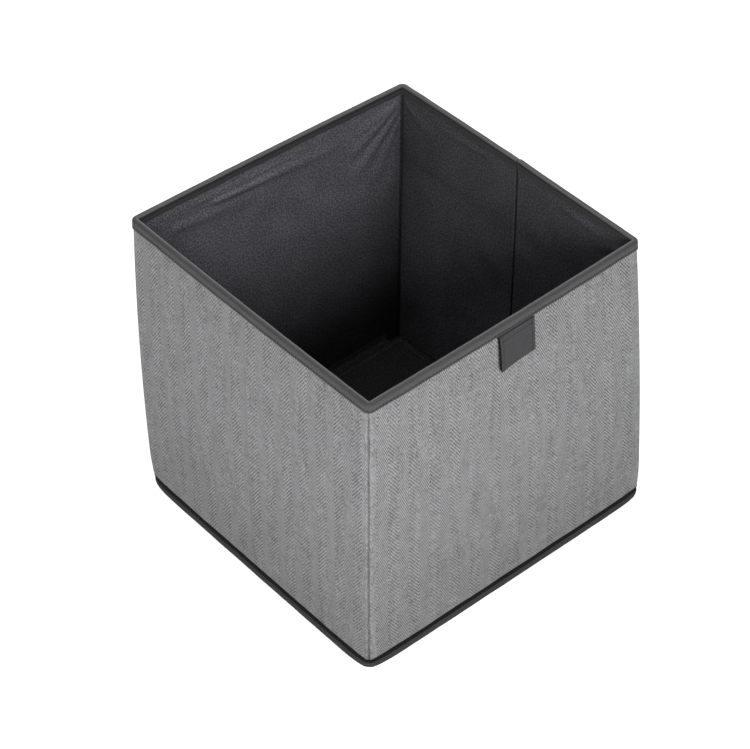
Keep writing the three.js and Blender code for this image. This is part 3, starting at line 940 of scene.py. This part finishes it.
def add_bottom_panel():
    side = np.linspace(-HALF + 0.4, HALF - 0.4, 60)
    grid_x, grid_y = np.meshgrid(side, side, indexing="ij")
    sag = 0.08 * waves(grid_x, grid_y, 71, 60.0)
    low = lean(np.stack([grid_x, grid_y, 1.2 + sag], -1))
    high = lean(np.stack([grid_x, grid_y, 1.75 + sag], -1))
    uv = np.stack([grid_x, grid_y], -1)
    obj = add_piece("bottom_cloth", [thin_sheet(low, high, uv)], BOTTOM_CLOTH)
    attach(obj, "shell")
    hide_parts("bottom_panel")


# ---- Base board ----

BASE_X, BASE_Y = 138.0, 141.5  # half the covered board
COVER_HEM = 5.0  # from the board's edge in to the stitched line


def board_lean(points):
    """The board's rear right corner reaches further into the bin's own corner."""
    p = np.array(points, float)
    weight = (1 + p[..., 0] / BASE_X) * (1 + p[..., 1] / BASE_Y) / 4
    p[..., 0] += 1.5 * weight
    p[..., 1] += 3.0 * weight
    return p


def dish(profile, skin, undulate):
    """A cloth cover over a board: rings of points that go in from the edge, and a cap.
    profile is (inset, height) from the lower edge, over the fold and in to the middle."""
    rows = []
    for inward in (0.0, 1.0):
        for inset, height in profile:
            depth = inset + inward * skin * (1.0 if inset < 0.7 else 0.0)
            lower = inward * skin * (0.0 if inset < 0.25 else 1.0)
            points, _ = outline(BASE_X - depth, BASE_Y - depth, max(0.3, 3.0 - depth), 40, 6)
            z = np.full(len(points), height - lower)
            if inset > 0.5:
                z = z + undulate(points[:, 0], points[:, 1], inset)
            rows.append(np.column_stack([points, z]))
    count, ring = len(profile), len(rows[0])
    outer, inner = rows[:count], rows[count:]
    pts = np.stack(inner[::-1] + outer)
    total = len(pts)
    cu, cv = quads(total, ring, False, True)
    faces = cu * ring + cv % ring
    flat = board_lean(pts.reshape(-1, 3))
    uv = flat[faces][..., :2]
    # The innermost rings are closed by strips across their narrow middle.
    caps = []
    for first in (0, (total - 1) * ring):
        for k in range(ring // 2 - 1):
            caps.append([first + k, first + k + 1, first + ring - 2 - k, first + ring - 1 - k])
    caps = np.array(caps)
    return flat, np.concatenate([faces, caps]), np.concatenate([uv, flat[caps][..., :2]])


def board_undulation(x, y, inset):
    hem = 0.28 * bump(inset, COVER_HEM, 0.8)  # the stitches pull the cover down
    return 0.1 * waves(x, y, 83, 70.0) * min(1.0, inset / 20.0) - hem


def add_base_board():
    edge = np.linspace(-1, 1, 30)
    grid_a, grid_b = np.meshgrid(edge * (BASE_X - 0.9), edge * (BASE_Y - 0.9), indexing="ij")
    uv = np.stack([grid_a, grid_b], -1)
    low = np.stack([grid_a, grid_b, np.full_like(grid_a, 3.1)], -1)
    high = np.stack([grid_a, grid_b, np.full_like(grid_a, 5.0)], -1)
    sheet = thin_sheet(board_lean(low), board_lean(high), uv)
    core = add_piece("base_board_greyboard", [sheet], BOARD)
    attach(core, "base_board")
    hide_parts("base_board_core")

    profile = [
        (0.0, 3.1), (0.0, 4.2), (0.0, 5.0), (0.18, 5.55), (0.6, 5.9), (1.3, 6.05), (2.6, 6.1),
        (3.8, 6.05), (4.4, 6.0), (5.0, 6.0), (5.6, 6.0), (6.4, 6.02),
    ]
    profile += [(inset, 6.0) for inset in (9.0, 14.0, 22.0, 34.0, 50.0, 70.0, 95.0, 120.0, 137.4)]
    cover = add_piece("base_cover_cloth", [dish(profile, 0.55, board_undulation)], BASE_CLOTH, 50)
    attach(cover, "base_board")
    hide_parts("base_cover_top")

    grid_a, grid_b = np.meshgrid(edge * (BASE_X - 0.1), edge * (BASE_Y - 0.1), indexing="ij")
    sag = 0.04 * waves(grid_a, grid_b, 91, 60.0)
    uv = np.stack([grid_a, grid_b], -1)
    low = np.stack([grid_a, grid_b, 2.25 + sag], -1)
    high = np.stack([grid_a, grid_b, 2.8 + sag], -1)
    sheet = thin_sheet(board_lean(low), board_lean(high), uv)
    under = add_piece("base_cover_underside", [sheet], BASE_CLOTH)
    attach(under, "base_board")
    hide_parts("base_cover_bottom")

    points, _ = outline(BASE_X - COVER_HEM, BASE_Y - COVER_HEM, 1.0, 60, 4)
    line = board_lean(np.column_stack([points, np.full(len(points), 5.85)]))
    outs = np.tile([0.0, 0.0, 1.0], (len(points), 1))
    rows = stitch_row(line, outs, 3.6, 2.5, 0.3, 0.45, closed=True)
    thread = add_piece("base_cover_stitches", rows, COVER_THREAD)
    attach(thread, "base_board")
    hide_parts("base_cover_thread")


def add_hinge_flap():
    """A strip of the cover's cloth from the board's rear edge to the back lining, and up it."""
    half = BASE_X - 12.0
    # Distance back and height: off the board, down into the gap, and up the lining.
    profile = [
        (140.4, 6.45), (141.3, 6.5), (142.2, 6.3), (143.0, 6.15), (143.7, 6.5), (144.1, 7.3),
        (144.25, 8.6), (144.3, 10.2), (144.3, 11.8), (144.3, 13.4),
    ]
    s = np.linspace(-half, half, 70)
    top, bottom, run = [], [], [0.0]
    for i, (y, z) in enumerate(profile):
        a, b = profile[max(0, i - 1)], profile[min(len(profile) - 1, i + 1)]
        t = np.array([b[0] - a[0], b[1] - a[1]], float)
        t /= np.linalg.norm(t)
        n = np.array([-t[1], t[0]]) * 0.22
        top.append((y + n[0], z + n[1]))
        bottom.append((y - n[0], z - n[1]))
        if i:
            run.append(run[-1] + math.dist(profile[i - 1], (y, z)))
    wave = 0.1 * np.sin(s / 17.0) + 0.07 * np.sin(s / 6.3)

    edge = board_lean(np.column_stack([s, np.full(len(s), BASE_Y), np.full(len(s), 6.0)]))[:, 1] - BASE_Y
    wall = np.column_stack([s, np.full(len(s), HALF - LINING_IN), np.full(len(s), 9.0)])
    wall = lean(wall)[:, 1] - wall[:, 1]

    def grid(rows):
        out = np.zeros((len(s), len(rows), 3))
        out[..., 0] = s[:, None]
        for j, (y, z) in enumerate(rows):
            share = np.clip((y - 141.3) / 2.8, 0, 1)
            out[:, j, 1] = y + edge * (1 - share) + wall * share
            out[:, j, 2] = z + wave * (0.3 if j < 2 else 1.0)
        return out

    uv = np.stack(np.meshgrid(s, np.array(run), indexing="ij"), -1)
    flap = add_piece("base_flap_cloth", [thin_sheet(grid(top), grid(bottom), uv)], BASE_CLOTH, 60)
    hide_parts("base_hinge_flap")
    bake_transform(flap)


# ---- Pull tab ----

TAB_X0, TAB_WIDTH = -13.5, 39.0
TAB_MIDDLE = 6.0
TAB_TOP, TAB_LOW = 288.6, 253.7
TAB_STITCH = 283.6


def tab_offset(s, z):
    """The tab stands off the wall at its left edge, more so low down."""
    low = np.clip((TAB_TOP - z) / (TAB_TOP - TAB_LOW), 0, 1)
    left = np.clip(1 - (s - TAB_X0) / TAB_WIDTH, 0, 1)
    return 2.9 * left**2.2 * low**0.3 + 0.35 * low


def wall_shift(x, z):
    """How far the leaning front wall has moved at the tab, so that the tab hangs on it."""
    square = np.array([[x, -HALF, z]], float)
    return (lean(square) - square)[0]


TAB_MOVE = wall_shift(TAB_MIDDLE, 285.0)


def tab_points(s, y, z):
    pts = np.stack(np.broadcast_arrays(s, y - tab_offset(s, z), z), -1).astype(float)
    square = pts.copy()
    square[..., 1] = -HALF
    moved = lean(square) - square
    pts[..., 0] += moved[..., 0]
    pts[..., 1] += moved[..., 1]
    return pts


def add_pull_tab():
    layer = 0.62
    front_y, back_y = -150.35, -149.25
    radius = (back_y - front_y) / 2
    line = [(front_y, z) for z in np.linspace(TAB_TOP, TAB_LOW + 1.0, 56)]
    middle = (front_y + back_y) / 2
    for a in np.linspace(0, math.pi, 9)[1:-1]:
        line.append((middle - radius * math.cos(a), TAB_LOW + 1.0 - radius * math.sin(a) * 1.1))
    line += [(back_y, z) for z in np.linspace(TAB_LOW + 1.0, TAB_TOP, 56)]
    line = np.array(line)
    tangent = np.gradient(line, axis=0)
    tangent /= np.linalg.norm(tangent, axis=1)[:, None]
    normal = np.column_stack([tangent[:, 1], -tangent[:, 0]])
    run = np.concatenate([[0], np.cumsum(np.linalg.norm(np.diff(line, axis=0), axis=1))])
    inside = np.linspace(1.0, TAB_WIDTH - 1.0, 40)
    s = np.concatenate([[0, 0.35], inside, [TAB_WIDTH - 0.35, TAB_WIDTH]]) + TAB_X0
    # The under layer shows past the left edge, ragged, as a dark strip that stands in for the shadow under
    # the lifted edge.
    under = np.clip((run - run[-1] / 2 - 1.0) / 2.0, 0, 1)
    left = np.clip(1 - (s - TAB_X0) / 6.0, 0, 1)
    ragged = 1.0 + 0.45 * np.sin(2 * math.pi * line[:, 1] / 3.3) + 0.2 * np.sin(line[:, 1] * 3.1)
    grid_s = s[:, None] - left[:, None] * (under * ragged)[None, :]
    edge = np.minimum(s - TAB_X0, TAB_X0 + TAB_WIDTH - s)
    # Thick soft selvedges, and a shallow channel inside each.
    thick = layer * (1 - 0.5 * np.exp(-edge / 0.3))
    thick += 0.16 * bump(edge, 0.8, 0.5) - 0.14 * bump(edge, 2.0, 0.5)
    sheets = []
    for sign in (1, -1):
        y = line[:, 0][None, :] + sign * normal[:, 0][None, :] * thick[:, None] / 2
        z = line[:, 1][None, :] + sign * normal[:, 1][None, :] * thick[:, None] / 2
        # The stitches pull the tape in across the tab.
        pull = 0.22 * bump(z, TAB_STITCH, 0.9) * (line[:, 0] < middle)
        sheets.append(tab_points(grid_s, y + pull, z))
    uv = np.stack([np.repeat(run[None, :], len(s), 0), grid_s], -1)
    tab = add_piece("pull_tab_tape", [thin_sheet(sheets[0], sheets[1], uv)], TAB_TAPE, 60)
    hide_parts("pull_tab")
    x, y = (TAB_MIDDLE + TAB_MOVE[0]) * MM, (middle + TAB_MOVE[1]) * MM
    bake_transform(tab)

    count = 60
    line_s = np.linspace(TAB_X0 + 2.0, TAB_X0 + TAB_WIDTH - 2.0, count)
    path = tab_points(line_s, np.full(count, front_y - layer / 2 + 0.2), np.full(count, TAB_STITCH))
    rows = stitch_row(path, np.tile([0.0, -1.0, 0.0], (count, 1)), 2.9, 2.3, 0.25, 0.3)
    thread = add_piece("pull_tab_stitches", rows, THREAD)
    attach(thread, "pull_tab")
    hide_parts("pull_tab_thread")


# ---- Assembly ----

for wall in TURNS:
    add_outer_cloth(wall)
    add_lining(wall)
for wall in ("front", "back"):
    add_wall_board(f"{wall}_board", wall, -BOARD_END, BOARD_END)
for wall, first, second in (("right", "front", "rear"), ("left", "rear", "front")):
    add_wall_board(f"{wall}_{first}_board", wall, -BOARD_END, -BOARD_GAP)
    add_wall_board(f"{wall}_{second}_board", wall, BOARD_GAP, BOARD_END)
    add_crease_seam(wall)
for row_name, row_sign in (("front", -1), ("back", 1)):
    for column_name, column_sign in (("left", -1), ("right", 1)):
        add_corner_seam(row_name, row_sign, column_name, column_sign)
add_rim_binding()
add_base_binding()
add_bottom_panel()
add_base_board()
add_hinge_flap()
add_pull_tab()

# ---- Stage ----


FLOOR_RADIUS = 6.0  # metres
FLOOR_SIDES = 64
FLOOR_DROP = -0.0004  # just under the bin, so that the two never share a plane


def add_floor():
    mesh = bpy.data.meshes.new("studio_floor")
    turns = np.linspace(0, 2 * math.pi, FLOOR_SIDES + 1)[:-1]
    rim = [(FLOOR_RADIUS * math.cos(a), FLOOR_RADIUS * math.sin(a), 0.0) for a in turns]
    mesh.from_pydata(rim, [], [list(range(FLOOR_SIDES))])
    n = Nodes("studio_floor")
    n.shader.inputs["Base Color"].default_value = (0.55, 0.55, 0.55, 1)
    n.shader.inputs["Roughness"].default_value = 0.9
    n.shader.inputs["Emission Color"].default_value = (1, 1, 1, 1)
    n.shader.inputs["Emission Strength"].default_value = 0.55
    mesh.materials.append(n.material)
    floor = bpy.data.objects.new("studio_floor", mesh)
    floor.location.z = FLOOR_DROP
    bpy.context.scene.collection.objects.link(floor)


def add_light(name, place, target, width, height, power):
    data = bpy.data.lights.new(name, "AREA")
    data.shape = "RECTANGLE"
    data.size, data.size_y = width, height
    data.energy = power
    light = bpy.data.objects.new(name, data)
    light.location = place
    light.rotation_euler = (Vector(target) - Vector(place)).to_track_quat("-Z", "Y").to_euler()
    bpy.context.scene.collection.objects.link(light)


add_floor()
world = bpy.data.worlds.new("studio")
world.use_nodes = True
world.node_tree.nodes["Background"].inputs[0].default_value = (1, 1, 1, 1)
world.node_tree.nodes["Background"].inputs[1].default_value = 0.5
bpy.context.scene.world = world
add_light("key_softbox", (-0.55, -1.5, 1.05), (0, 0, 0.15), 0.8, 0.6, 41.5)
add_light("side_softbox", (-1.7, -0.5, 0.7), (0, 0, 0.15), 0.8, 0.6, 17.0)
add_light("rear_softbox", (1.5, 1.9, 0.95), (0, 0, 0.25), 1.2, 0.8, 70.0)
bpy.context.scene.view_settings.view_transform = "Standard"
